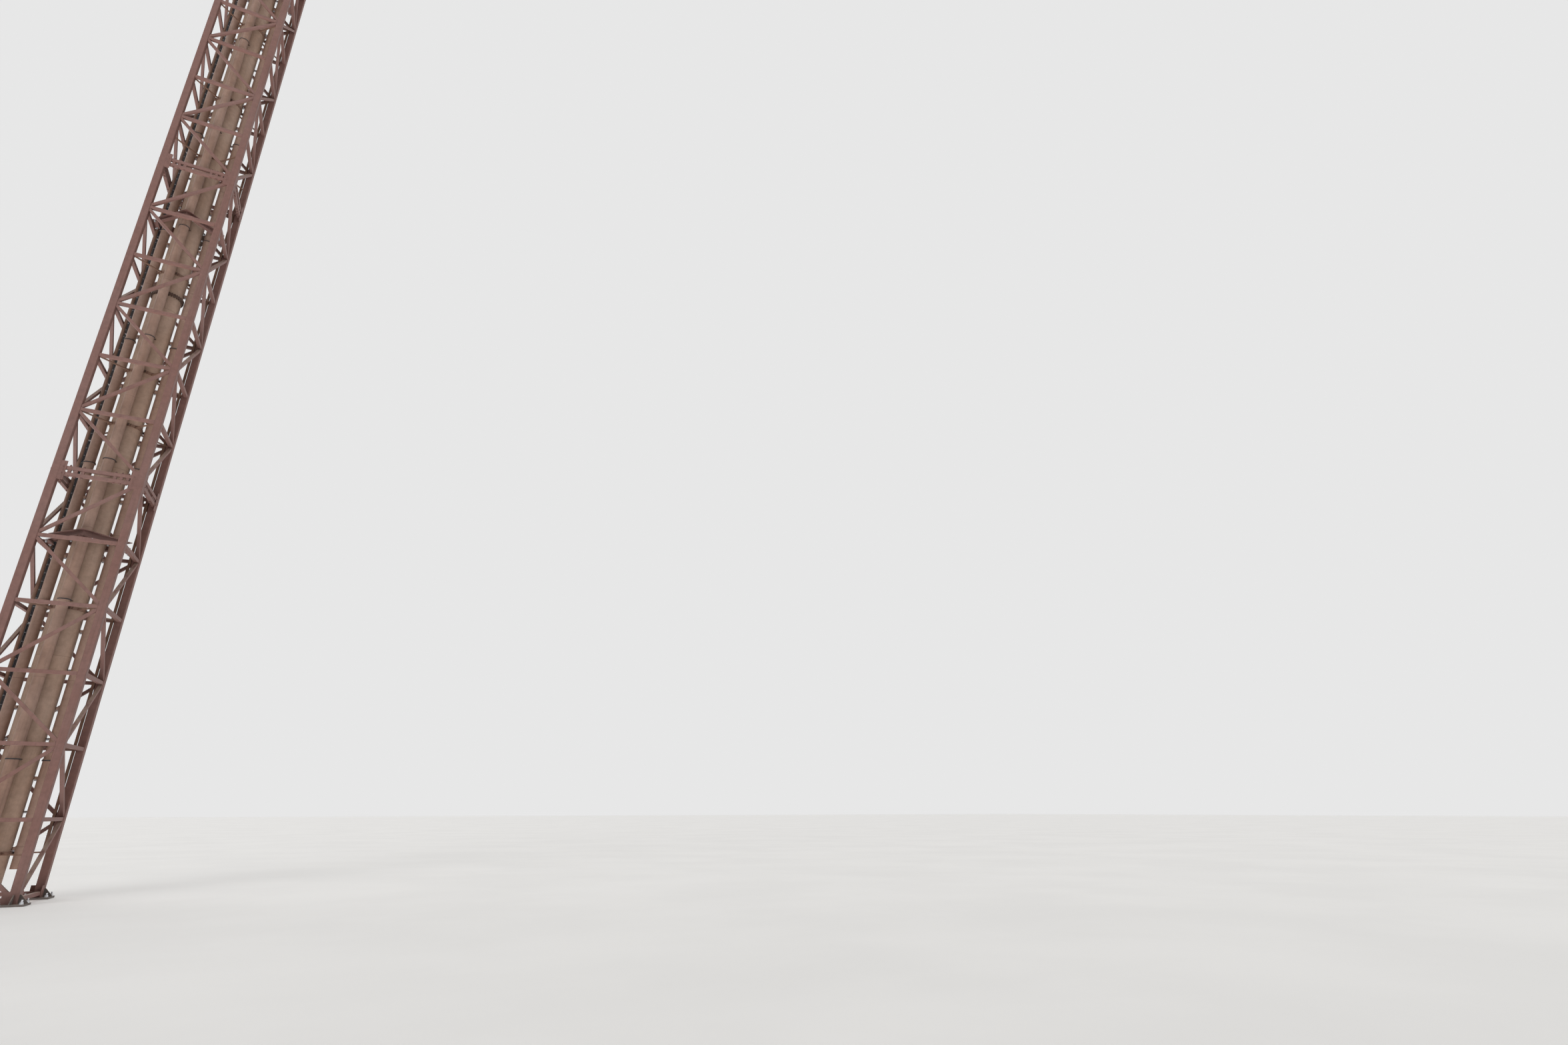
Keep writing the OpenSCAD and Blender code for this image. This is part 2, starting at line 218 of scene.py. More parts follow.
class MastStage(bpy.types.PropertyGroup):
    """Floor, light and camera."""

    floor: bpy.props.FloatVectorProperty(
        name="Floor", description="Colour of the floor",
        subtype="COLOR", default=(0.86, 0.855, 0.84),
    )
    backdrop: bpy.props.FloatVectorProperty(
        name="Backdrop", description="Colour behind the mast",
        subtype="COLOR", default=(0.80, 0.80, 0.80),
    )
    floor_size: bpy.props.FloatProperty(
        name="Floor size", description="Width of the floor",
        unit="LENGTH", default=400.0,
    )
    floor_glow: bpy.props.FloatProperty(
        name="Floor glow", description="How much paler the camera sees the floor", default=0.11
    )
    key: bpy.props.FloatProperty(
        name="Key light", description="Strength of the key light", default=0.65
    )
    fill: bpy.props.FloatProperty(
        name="Fill light", description="Strength of the fill light", default=0.7
    )
    back: bpy.props.FloatProperty(
        name="Back light", description="Strength of the back light", default=0.9
    )
    low: bpy.props.FloatProperty(
        name="Low light", description="Strength of the light from below", default=3.0
    )
    ambient: bpy.props.FloatProperty(
        name="Ambient", description="Strength of the even light", default=0.34
    )
    lens: bpy.props.FloatProperty(
        name="Lens", description="Focal length in millimetres", default=18.06
    )


# ---------------------------------------------------------------- shader groups


def add(tree, kind, inputs=None, **settings):
    """Adds a node, sets it up and feeds its inputs with values or with sockets."""
    node = tree.nodes.new(kind)
    for key, value in settings.items():
        setattr(node, key, value)
    for key, value in (inputs or {}).items():
        if isinstance(value, bpy.types.NodeSocket):
            tree.links.new(value, node.inputs[key])
        else:
            node.inputs[key].default_value = value
    return node


def maths(tree, operation, a, b=0.0, clamp=False):
    """One number made from two."""
    node = add(tree, "ShaderNodeMath", {0: a, 1: b}, operation=operation, use_clamp=clamp)
    return node.outputs[0]


def times(tree, a, b, clamp=False):
    """The product of two numbers."""
    return maths(tree, "MULTIPLY", a, b, clamp)


def scaled(tree, vector, factor):
    """A colour or a vector times one number."""
    given = {0: vector, 3: factor}
    return add(tree, "ShaderNodeVectorMath", given, operation="SCALE").outputs[0]


def ramp(tree, value, low, high, to_low=0.0, to_high=1.0):
    """A value taken from one range to another with soft ends."""
    node = add(
        tree,
        "ShaderNodeMapRange",
        {"Value": value, "From Min": low, "From Max": high, "To Min": to_low, "To Max": to_high},
        interpolation_type="SMOOTHSTEP",
    )
    return node.outputs["Result"]


def noise(tree, vector, scale, detail=3.0, roughness=0.55):
    """Plain noise, from 0 to 1."""
    node = add(
        tree,
        "ShaderNodeTexNoise",
        {"Vector": vector, "Scale": scale, "Detail": detail, "Roughness": roughness},
    )
    return node.outputs["Fac"]


def blend_colour(tree, factor, a, b, mode="MIX"):
    """Colour a going to colour b."""
    node = add(tree, "ShaderNodeMix", {0: factor, 6: a, 7: b}, data_type="RGBA", blend_type=mode)
    return node.outputs[2]


def stretched(tree, vector, x, y, z):
    """A vector scaled along each axis."""
    return add(tree, "ShaderNodeMapping", {"Vector": vector, "Scale": (x, y, z)}).outputs["Vector"]


NUMBER = "NodeSocketFloat"
COLOUR = "NodeSocketColor"
GREY = (0.5, 0.5, 0.5, 1.0)
GROUPS = {}


def new_group(name, inputs, outputs):
    """An empty shader group with named inputs and outputs."""
    group = bpy.data.node_groups.new(name, "ShaderNodeTree")
    GROUPS[name] = group
    for label, kind, default in inputs:
        socket = group.interface.new_socket(label, in_out="INPUT", socket_type=kind)
        socket.default_value = default
    for label, kind in outputs:
        group.interface.new_socket(label, in_out="OUTPUT", socket_type=kind)
    given = group.nodes.new("NodeGroupInput").outputs
    return group, given, group.nodes.new("NodeGroupOutput").inputs


def worn_edges_group():
    """Worn edges: where a rounded normal leaves the flat one, broken up by noise."""
    group, given, result = new_group(
        "worn_edges",
        [("Width", NUMBER, 0.003), ("Breakup", NUMBER, 26.0), ("Amount", NUMBER, 0.6)],
        [("Mask", NUMBER)],
    )
    place = add(group, "ShaderNodeTexCoord").outputs["Object"]
    rounded = add(group, "ShaderNodeBevel", {"Radius": given["Width"]}, samples=4).outputs[0]
    flat = add(group, "ShaderNodeNewGeometry").outputs["Normal"]
    both = {0: rounded, 1: flat}
    dot = add(group, "ShaderNodeVectorMath", both, operation="DOT_PRODUCT").outputs["Value"]
    edge = ramp(group, maths(group, "SUBTRACT", 1.0, dot), 0.02, 0.22)
    broken = ramp(group, noise(group, place, given["Breakup"], 5.0, 0.65), 0.46, 0.62)
    mask = times(group, times(group, edge, broken), given["Amount"], True)
    group.links.new(mask, result["Mask"])


def ring_weld_group():
    """Weld rings round an upright pipe, at an even spacing in height."""
    group, given, result = new_group(
        "ring_weld",
        [("Spacing", NUMBER, 3.0), ("Offset", NUMBER, 0.0), ("Half height", NUMBER, 0.006)],
        [("Mask", NUMBER)],
    )
    place = add(group, "ShaderNodeTexCoord").outputs["Object"]
    height = add(group, "ShaderNodeSeparateXYZ", {0: place}).outputs["Z"]
    shifted = maths(group, "SUBTRACT", height, given["Offset"])
    distance = maths(group, "PINGPONG", shifted, times(group, given["Spacing"], 0.5))
    uneven = maths(group, "SUBTRACT", noise(group, place, 60.0, 2.0), 0.5)
    ripple = times(group, uneven, 0.004)
    edge = maths(group, "DIVIDE", maths(group, "ADD", distance, ripple), given["Half height"])
    group.links.new(ramp(group, edge, 1.0, 0.4), result["Mask"])


def off_pipe_group():
    """Marks what stands off an upright pipe on the mast's axis, such as its flanges and pads."""
    group, given, result = new_group("off_pipe", [("Radius", NUMBER, 0.2)], [("Mask", NUMBER)])
    place = add(group, "ShaderNodeTexCoord").outputs["Object"]
    level = {0: place, 1: (1.0, 1.0, 0.0)}
    across = add(group, "ShaderNodeVectorMath", level, operation="MULTIPLY").outputs[0]
    reach = add(group, "ShaderNodeVectorMath", {0: across}, operation="LENGTH").outputs["Value"]
    beyond = maths(group, "SUBTRACT", reach, given["Radius"])
    group.links.new(ramp(group, beyond, 0.001, 0.006), result["Mask"])


def aged_paint_group():
    """Paint after years outdoors: fading, mottling, streaks, dust, chips and rust, with painted
    shade on downward faces and a darkening of what stands off the central pipe.
    """
    group, given, result = new_group(
        "aged_paint",
        [
            ("Paint", COLOUR, GREY),
            ("Dirt", COLOUR, GREY),
            ("Rust", COLOUR, GREY),
            ("Dust", COLOUR, GREY),
            ("Fading", NUMBER, 0.3),
            ("Streaks", NUMBER, 0.5),
            ("Rusting", NUMBER, 0.3),
            ("Dusting", NUMBER, 0.5),
            ("Chips", NUMBER, 0.0),
            ("Seams", NUMBER, 0.0),
            # How much darker the flanges and pads that stand off the central pipe are drawn
            ("Off pipe dark", NUMBER, 0.0),
            ("Gloss", NUMBER, 0.45),
        ],
        [("Colour", COLOUR), ("Roughness", NUMBER), ("Height", NUMBER)],
    )
    place = add(group, "ShaderNodeTexCoord").outputs["Object"]
    normal = add(group, "ShaderNodeNewGeometry").outputs["Normal"]
    facing = add(group, "ShaderNodeSeparateXYZ", {0: normal}).outputs["Z"]
    upright = ramp(group, maths(group, "ABSOLUTE", facing), 0.75, 0.3)
    upward = ramp(group, facing, 0.25, 0.85)
    downward = ramp(group, facing, -0.4, -0.9)

    broad = noise(group, place, 0.9, 3.0)
    fine = noise(group, place, 14.0, 6.0, 0.65)
    faded = add(
        group,
        "ShaderNodeHueSaturation",
        {"Saturation": 0.72, "Value": 1.22, "Color": given["Paint"]},
    ).outputs[0]
    fading = times(group, ramp(group, broad, 0.36, 0.66), given["Fading"])
    colour = blend_colour(group, fading, given["Paint"], faded)
    mottled = scaled(group, colour, ramp(group, fine, 0.25, 0.75, 0.86, 1.1))

    thin_runs = noise(group, stretched(group, place, 38.0, 38.0, 0.9), 1.0, 4.0, 0.6)
    wide_runs = noise(group, stretched(group, place, 9.0, 9.0, 0.45), 1.0, 3.0, 0.5)
    runs = times(group, ramp(group, thin_runs, 0.46, 0.72), ramp(group, wide_runs, 0.38, 0.66))
    run_mask = times(group, times(group, runs, upright), given["Streaks"], True)
    streaked = blend_colour(group, run_mask, mottled, given["Dirt"])

    # Painted shade: faces that point down are darkened towards the dirt colour, broken up by fine
    # noise.
    grime = times(group, times(group, downward, ramp(group, fine, 0.4, 0.7)), 0.14)
    # Flanges and pads that stand off the central pipe are darkened towards the dirt colour.
    off_pipe_dark = times(group, given["Off pipe dark"], ramp(group, fine, 0.3, 0.7, 0.82, 1.0))
    # Blends in the painted shade below and the darkening off the pipe.
    shaded_and_darkened = blend_colour(group, maths(group, "MAXIMUM", grime, off_pipe_dark), streaked, given["Dirt"])

    drifts = ramp(group, noise(group, place, 7.0, 5.0), 0.3, 0.6)
    dust_mask = times(group, times(group, upward, drifts), given["Dusting"])
    dusted = blend_colour(group, dust_mask, shaded_and_darkened, given["Dust"])

    specks = ramp(group, noise(group, place, 52.0, 4.0, 0.7), 0.6, 0.7)
    patches = ramp(group, noise(group, place, 2.3, 4.0, 0.6), 0.5, 0.68)
    speckled = times(group, times(group, specks, patches), given["Rusting"], True)
    rust_mask = maths(group, "MAXIMUM", speckled, times(group, given["Chips"], 0.8))
    rust_shade = ramp(group, noise(group, place, 120.0, 3.0), 0.3, 0.7, 0.6, 1.35)
    rusted = blend_colour(group, rust_mask, dusted, scaled(group, given["Rust"], rust_shade))
    seamed = blend_colour(group, times(group, given["Seams"], 0.3), rusted, given["Dirt"])
    group.links.new(seamed, result["Colour"])

    rough = maths(group, "ADD", given["Gloss"], times(group, ramp(group, fine, 0.2, 0.8), 0.12))
    rough = maths(group, "ADD", rough, times(group, dust_mask, 0.3))
    rough = maths(group, "ADD", rough, times(group, run_mask, 0.15))
    rough = maths(group, "ADD", rough, times(group, rust_mask, 0.35), True)
    group.links.new(rough, result["Roughness"])

    brush = noise(group, stretched(group, place, 170.0, 170.0, 40.0), 1.0, 3.0)
    height = maths(group, "ADD", times(group, brush, 0.25), times(group, fine, 0.3))
    height = maths(group, "SUBTRACT", height, times(group, rust_mask, 0.35))
    height = maths(group, "ADD", height, given["Seams"])
    group.links.new(height, result["Height"])


def bare_metal_group():
    """Zinc, turned steel, rubber or plastic: clouds, a fine spangle and a little grime."""
    group, given, result = new_group(
        "bare_metal",
        [
            ("Metal", COLOUR, GREY),
            ("Grime", COLOUR, GREY),
            ("Cloud scale", NUMBER, 40.0),
            ("Grime amount", NUMBER, 0.4),
            ("Polish", NUMBER, 0.35),
        ],
        [("Colour", COLOUR), ("Roughness", NUMBER), ("Height", NUMBER)],
    )
    place = add(group, "ShaderNodeTexCoord").outputs["Object"]
    cloud = noise(group, place, given["Cloud scale"], 4.0)
    spangle = add(group, "ShaderNodeTexVoronoi", {"Vector": place, "Scale": 260.0}).outputs["Color"]
    tone = add(group, "ShaderNodeSeparateXYZ", {0: spangle}).outputs["X"]
    clouded = ramp(group, cloud, 0.25, 0.75, 0.78, 1.08)
    shade = maths(group, "ADD", clouded, times(group, tone, 0.12))
    clean = scaled(group, given["Metal"], shade)
    spots = ramp(group, noise(group, place, 16.0, 5.0, 0.65), 0.48, 0.68)
    grime = times(group, spots, given["Grime amount"], True)
    group.links.new(blend_colour(group, grime, clean, given["Grime"]), result["Colour"])
    rough = maths(group, "ADD", given["Polish"], times(group, cloud, 0.18))
    rough = maths(group, "ADD", rough, times(group, grime, 0.35), True)
    group.links.new(rough, result["Roughness"])
    group.links.new(maths(group, "ADD", cloud, times(group, tone, 0.2)), result["Height"])


# ---------------------------------------------------------------- materials

MATERIALS = {}


def opaque(colour):
    """A colour with its fourth channel."""
    return (*colour, 1.0)


def shader_base(name, metallic, strength, distance):
    """A material with its own shader and bump node, ready for the groups."""
    material = bpy.data.materials.new(name)
    material.use_nodes = True
    tree = material.node_tree
    shader = tree.nodes["Principled BSDF"]
    shader.inputs["Metallic"].default_value = metallic
    bump = add(tree, "ShaderNodeBump", {"Strength": strength, "Distance": distance})
    tree.links.new(bump.outputs["Normal"], shader.inputs["Normal"])
    MATERIALS[name] = material
    return tree, shader, bump


def place_group(tree, name, inputs):
    """Places one of the shader groups in a material."""
    return add(tree, "ShaderNodeGroup", inputs, node_tree=GROUPS[name])


def feed(tree, shader, bump, source):
    """Feeds the shader from a group's three outputs."""
    tree.links.new(source.outputs["Colour"], shader.inputs["Base Color"])
    tree.links.new(source.outputs["Roughness"], shader.inputs["Roughness"])
    tree.links.new(source.outputs["Height"], bump.inputs["Height"])


def painted(name, paint, weld=None, pipe_r=None, edge=0.6, **amounts):
    """A painted steel finish.

    weld gives the spacing and the first height of ring welds. pipe_r is the radius of a pipe
    whose flanges and pads are drawn darker.
    """
    colours = bpy.context.scene.mast_colours
    tree, shader, bump = shader_base(name, metallic=0.0, strength=0.35, distance=0.0025)
    worn = place_group(tree, "worn_edges", {"Amount": edge})
    inputs = {
        "Paint": opaque(paint),
        "Dirt": opaque(colours.dirt),
        "Rust": opaque(colours.rust),
        "Dust": opaque(colours.dust),
        "Chips": worn.outputs["Mask"],
    }
    if weld:
        ring = place_group(tree, "ring_weld", {"Spacing": weld[0], "Offset": weld[1]})
        inputs["Seams"] = ring.outputs["Mask"]
    if pipe_r:
        # Darkens the flanges and pads that stand off the pipe.
        inputs["Off pipe dark"] = place_group(tree, "off_pipe", {"Radius": pipe_r}).outputs["Mask"]
    inputs.update(amounts)
    feed(tree, shader, bump, place_group(tree, "aged_paint", inputs))
    shader.inputs["Specular IOR Level"].default_value = 0.25


def metal(name, colour, grime, grime_amount, polish, metallic=1.0):
    """A bare metal finish, or rubber or plastic where metallic is 0."""
    tree, shader, bump = shader_base(name, metallic, strength=0.2, distance=0.001)
    inputs = {
        "Metal": opaque(colour),
        "Grime": opaque(grime),
        "Grime amount": grime_amount,
        "Polish": polish,
    }
    feed(tree, shader, bump, place_group(tree, "bare_metal", inputs))


class MAST_OT_materials(bpy.types.Operator):
    """Builds the shader groups and every finish, and paints the CAD nodes"""

    bl_idname = "mast.materials"
    bl_label = "Finishes"

    def execute(self, context):
        colours = context.scene.mast_colours
        worn_edges_group()
        ring_weld_group()
        off_pipe_group()
        aged_paint_group()
        bare_metal_group()
        painted("leg_paint", colours.leg, Streaks=0.3, Rusting=0.4, Gloss=0.5)
        painted("brace_paint", colours.brace, Streaks=0.25, Rusting=0.4, Dusting=0.6, Gloss=0.5)
        painted("support_paint", colours.support, Streaks=0.5, Rusting=0.7, Gloss=0.5)
        # The pipe and cylinder colours carry painted light: they are lighter than the real paint,
        # for the light that reaches them inside the mast.
        painted(
            "main_pipe_paint", colours.pipe, PIPE_WELDS, PIPE_R,
            Streaks=0.16, Rusting=0.22, Gloss=0.46,
        )
        painted(
            "cylinder_paint", colours.cylinder, CYLINDER_WELDS,
            Streaks=0.2, Rusting=0.22, Gloss=0.42,
        )
        base = (0.13, 0.11, 0.1)
        painted("base_steel", base, Streaks=0.4, Rusting=1.0, Dusting=0.8, Gloss=0.6)
        dark = [c * 0.22 for c in colours.pipe]
        painted("dark_steel", dark, edge=0.9, Streaks=0.6, Rusting=1.0, Gloss=0.6)
        dull = [c * 0.9 for c in colours.brace]
        painted("weld_paint", dull, edge=0.9, Streaks=0.5, Rusting=0.9, Gloss=0.45)
        metal("sheave_steel", (0.17, 0.17, 0.18), (0.075, 0.068, 0.06), 0.6, 0.38)
        metal("pin_steel", (0.56, 0.56, 0.57), (0.1, 0.07, 0.05), 0.5, 0.28)
        metal("zinc", (0.62, 0.63, 0.66), (0.16, 0.12, 0.09), 0.55, 0.4, metallic=0.85)
        metal("rubber_black", (0.028, 0.027, 0.03), (0.09, 0.075, 0.06), 0.5, 0.55, metallic=0.0)
        metal("box_grey", (0.2, 0.2, 0.21), (0.09, 0.07, 0.05), 0.5, 0.45, metallic=0.0)
        slots = {p["node"]: p["material_slot"] for p in frame["record"]["subparts"]}
        for name, node in NODES.items():
            node.data.materials.clear()
            node.data.materials.append(MATERIALS[slots[name]])
        return {"FINISHED"}


# ---------------------------------------------------------------- modelling helpers


def start_clean():
    """Leaves edit mode and selects nothing, before a piece is modelled."""
    if bpy.context.object and bpy.context.object.mode != "OBJECT":
        bpy.ops.object.mode_set(mode="OBJECT")
    bpy.ops.object.select_all(action="DESELECT")


def select_faces(obj, keep):
    """Selects in edit mode the faces for which keep is true."""
    bpy.ops.object.mode_set(mode="OBJECT")
    for polygon in obj.data.polygons:
        polygon.select = keep(polygon)
    for edge in obj.data.edges:
        edge.select = False
    for vertex in obj.data.vertices:
        vertex.select = False
    for polygon in obj.data.polygons:
        if polygon.select:
            for index in polygon.vertices:
                obj.data.vertices[index].select = True
    bpy.ops.object.mode_set(mode="EDIT")
    bpy.ops.mesh.select_mode(type="FACE")


def edit_all():
    """Goes into edit mode with all of the active piece selected."""
    bpy.ops.object.mode_set(mode="EDIT")
    bpy.ops.mesh.select_all(action="SELECT")


def joined(parts):
    """Joins parts as one, with its place in its mesh."""
    start_clean()
    for part in parts:
        part.select_set(True)
    bpy.context.view_layer.objects.active = parts[0]
    bpy.ops.object.join()
    bpy.ops.object.transform_apply(location=True, rotation=True, scale=True)
    return bpy.context.object


def block(size, location=(0, 0, 0)):
    """A box with its size applied, for a plate, lug or bracket to be shaped from."""
    start_clean()
    bpy.ops.mesh.primitive_cube_add(size=1, location=location)
    box = bpy.context.object
    box.scale = size
    bpy.ops.object.transform_apply(location=False, rotation=False, scale=True)
    return box


def ease_edges(offset):
    """Bevels every edge of the active piece."""
    edit_all()
    bpy.ops.mesh.bevel(offset=offset, segments=1)
    bpy.ops.object.mode_set(mode="OBJECT")


def hexagon(across, height, washer, stub=0.0):
    """A hexagonal bolt head or nut on its washer, standing on z = 0 and pointing up.

    The height, the washer's diameter and the stub of bolt above the nut are shares of across.
    """
    start_clean()
    height *= across
    washer_t = height * 0.28
    chamfer = across * 0.07
    crown = height * 0.12
    nut_rim = across * 0.16
    bpy.ops.mesh.primitive_cylinder_add(
        vertices=16, radius=across * washer / 2, depth=washer_t, location=(0, 0, washer_t / 2)
    )
    body = bpy.context.object
    middle = (0, 0, washer_t + height / 2)
    bpy.ops.mesh.primitive_cylinder_add(
        vertices=6, radius=across / math.sqrt(3), depth=height, location=middle
    )
    head = bpy.context.object
    select_faces(head, lambda p: p.normal.z > FACING)
    bpy.ops.mesh.inset(thickness=chamfer)
    bpy.ops.transform.translate(value=(0, 0, crown))
    if stub:
        bpy.ops.mesh.inset(thickness=nut_rim)
        end = (0, 0, across * stub)
        bpy.ops.mesh.extrude_region_move(TRANSFORM_OT_translate={"value": end})
    return joined([body, head])


def weld_ring(width, height, bead):
    """A weld bead round the end of a bar that runs along X, in the plane x = 0."""
    start_clean()
    bpy.ops.mesh.primitive_torus_add(
        major_segments=4, minor_segments=6, major_radius=math.sqrt(0.5), minor_radius=bead
    )
    ring = bpy.context.object
    edit_all()
    centre = (0, 0, 0)
    bpy.ops.transform.rotate(value=math.radians(45), orient_axis="Z", center_override=centre)
    bpy.ops.transform.rotate(value=math.radians(90), orient_axis="Y", center_override=centre)
    bpy.ops.transform.resize(value=(1, width, height), center_override=centre)
    bpy.ops.mesh.subdivide(number_cuts=1)
    bpy.ops.transform.vertex_random(offset=bead * 0.25, seed=4)
    bpy.ops.mesh.normals_make_consistent(inside=False)
    bpy.ops.object.mode_set(mode="OBJECT")
    return ring


def scatter(masters, name, material):
    """Copies each master to its places and joins the copies as one piece on the mast."""
    copies = []
    for master, places in masters:
        for place in places:
            copy = master.copy()
            copy.data = master.data.copy()
            copy.data.transform(place)
            bpy.context.collection.objects.link(copy)
            copies.append(copy)
    if not copies:
        raise RuntimeError(f"{name} has no places")
    settle(copies, name, material)


def settle(parts, name, material):
    """Makes parts one named piece, gives it its finish and lets it ride on the mast."""
    piece = joined(parts)
    piece.name = name
    piece.data.name = name
    piece.data.materials.clear()
    piece.data.materials.append(MATERIALS[material])
    bpy.ops.object.shade_smooth_by_angle(angle=math.radians(SMOOTH_ANGLE))
    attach(piece, "root")


def discard(*masters):
    """Removes the masters after their copies are made."""
    for master in masters:
        bpy.data.meshes.remove(master.data)


def turned(turn, x, y, z):
    """A place that is given on one side of the mast and turned about its axis to another."""
    return Matrix.Rotation(math.radians(turn), 4, "Z") @ Matrix.Translation((x, y, z))


DOWN = Matrix.Rotation(math.pi, 4, "X")
OUT_FRONT = Matrix.Rotation(math.pi / 2, 4, "X")


# ---------------------------------------------------------------- pieces


class MAST_OT_welds(bpy.types.Operator):
    """Lays the weld beads where the braces meet the legs"""

    bl_idname = "mast.welds"
    bl_label = "Weld beads"

    def execute(self, context):
        bead = context.scene.mast_sizes.weld_r
        run = 2 * INNER_X
        rise = PANEL_H - 2 * DIAGONAL_OFFSET
        slanted = DIAGONAL_W * math.hypot(run, rise) / run
        square = weld_ring(BRACE_W, BRACE_W, bead)
        tall = weld_ring(DIAGONAL_W, slanted, bead)
        for number in range(1, SECTIONS + 1):
            bars, diagonals = [], []
            for turn in FACE_TURNS:
                even = 1 if turn in (0, 180) else -1
                for level in range(PANELS + 1):
                    z = level_z(number, level)
                    bars += [turned(turn, side * INNER_X, BRACE_Y, z) for side in (-1, 1)]
                for level in range(PANELS):
                    start = even if level % 2 == 0 else -even
                    top = level_z(number, level) - DIAGONAL_OFFSET
                    low = level_z(number, level + 1) + DIAGONAL_OFFSET
                    diagonals.append(turned(turn, start * INNER_X, BRACE_Y, top))
                    diagonals.append(turned(turn, -start * INNER_X, BRACE_Y, low))
            welds = [(square, bars), (tall, diagonals)]
            scatter(welds, f"section_{number}_welds", "weld_paint")
        discard(square, tall)
        return {"FINISHED"}


class MAST_OT_joint_bolts(bpy.types.Operator):
    """Bolts the sections together: splice ears, splice plates and packers"""

    bl_idname = "mast.joint_bolts"
    bl_label = "Section joint bolts"

    def execute(self, context):
        sizes = context.scene.mast_sizes
        small = sizes.bolt_across
        ear = sizes.ear_bolt_across
        big = sizes.packer_bolt_across
        head = hexagon(small, 0.42, 1.5)
        nut = hexagon(small, 0.5, 1.5, 0.3)
        ear_head = hexagon(ear, 0.35, 1.25)
        big_head = hexagon(big, 0.5, 1.35)
        big_nut = hexagon(big, 0.55, 1.35, 0.35)
        plate_mid = INNER_X - SPLICE_REACH / 2
        plate_side = HALF_W - SPLICE_BOLT_EDGE
        plate_spots = (
            (plate_mid, -plate_mid),
            (plate_mid, -plate_side),
            (plate_side, -plate_mid),
        )
        for joint in range(1, SECTIONS + 1):
            z = section_z(joint + 1)
            ears, plate_heads, plate_nuts, bar_heads, bar_nuts = [], [], [], [], []
            above = joint < SECTIONS
            rows = (-END_OFFSET, END_OFFSET) if above else (-END_OFFSET,)
            for turn in FACE_TURNS:
                for side in (-1, 1):
                    ear_x = side * (INNER_X - EAR_W / 2)
                    ear_y = -HALF_W + BRACE_INSET - EAR_T
                    for row in rows:
                        ears.append(turned(turn, ear_x, ear_y, z + row) @ OUT_FRONT)
                    first = INNER_X - EAR_W - PACKER_PITCH / 2
                    low = z - END_OFFSET - BRACE_W / 2
                    high = z + END_OFFSET + BRACE_W / 2
                    for k in range(PACKERS):
                        x = side * (first - k * PACKER_PITCH)
                        bar_heads.append(turned(turn, x, BRACE_Y, low) @ DOWN)
                        if above:
                            bar_nuts.append(turned(turn, x, BRACE_Y, high))
                for x, y in plate_spots:
                    plate_nuts.append(turned(turn, x, y, z - SPLICE_T) @ DOWN)
                    if above:
                        plate_heads.append(turned(turn, x, y, z + SPLICE_T))
            bolts = [
                (ear_head, ears),
                (head, plate_heads),
                (nut, plate_nuts),
                (big_head, bar_heads),
                (big_nut, bar_nuts),
            ]
            scatter(bolts, f"joint_{joint}_bolts", "weld_paint")
        discard(ear_head, head, nut, big_head, big_nut)
        return {"FINISHED"}


class MAST_OT_pipe_bolts(bpy.types.Operator):
    """Bolts the flanges of the central pipe and the spacer clips"""

    bl_idname = "mast.pipe_bolts"
    bl_label = "Pipe and clip bolts"

    flange_bolts: bpy.props.IntProperty(
        name="Flange bolts", description="Bolts in one flange", default=36
    )
    flange_bolt_r: bpy.props.FloatProperty(
        name="Bolt circle", description="Radius of the flange's bolt circle",
        unit="LENGTH", default=0.2175,
    )

    def execute(self, context):
        sizes = context.scene.mast_sizes
        across = sizes.bolt_across
        clip_across = sizes.clip_bolt_across
        head = hexagon(across, 0.5, 1.3)
        nut = hexagon(across, 0.55, 1.3, 0.5)
        clip = hexagon(clip_across, 0.5, 1.1)
        for number in FLANGE_SECTIONS:
            low = section_z(number) + FLANGE_START
            heads, nuts = [], []
            for k in range(self.flange_bolts):
                turn = (k + 0.5) * 360 / self.flange_bolts
                nuts.append(turned(turn, self.flange_bolt_r, 0, low) @ DOWN)
                heads.append(turned(turn, self.flange_bolt_r, 0, low + FLANGE_H))
            bolts = [(head, heads), (nut, nuts)]
            scatter(bolts, f"flange_{number}_bolts", "dark_steel")
        for number in range(1, SECTIONS + 1):
            clips = []
            for level in CLIP_LEVELS[number % 2]:
                z = level_z(number, level)
                if z + CLIP_H < PIPE_TOP:
                    for turn in FACE_TURNS:
                        clips.append(turned(turn, CLIP_BOLT_REACH, 0, z - CLIP_H / 2) @ DOWN)
            scatter([(clip, clips)], f"section_{number}_clip_bolts", "zinc")
        discard(head, nut, clip)
        return {"FINISHED"}


class MAST_OT_frame_bolts(bpy.types.Operator):
    """Bolts the seat plates of the cylinder frames"""

    bl_idname = "mast.frame_bolts"
    bl_label = "Frame seat bolts"

    seat_bolt_gap: bpy.props.FloatProperty(
        name="Seat bolt distance", description="Between the two bolts of a seat",
        unit="LENGTH", default=0.21,
    )

    def execute(self, context):
        across = context.scene.mast_sizes.clip_bolt_across
        nut = hexagon(across, 0.5, 1.3, 0.3)
        head = hexagon(across, 0.45, 1.3)
        inner = HALF_W - BRACE_INSET - BRACE_W - SEAT_BOLT_INSET
        for number in range(1, SECTIONS + 1):
            nuts, heads = [], []
            low = level_z(number, 1) + BRACE_W / 2
            for turn in FACE_TURNS:
                for side in (-0.5, 0.5):
                    x = SEAT_MID + side * self.seat_bolt_gap
                    nuts.append(turned(turn, x, -inner, low) @ DOWN)
                    heads.append(turned(turn, x, -inner, low + SEAT_T))
            bolts = [(nut, nuts), (head, heads)]
            scatter(bolts, f"section_{number}_seat_bolts", "zinc")
        discard(nut, head)
        return {"FINISHED"}


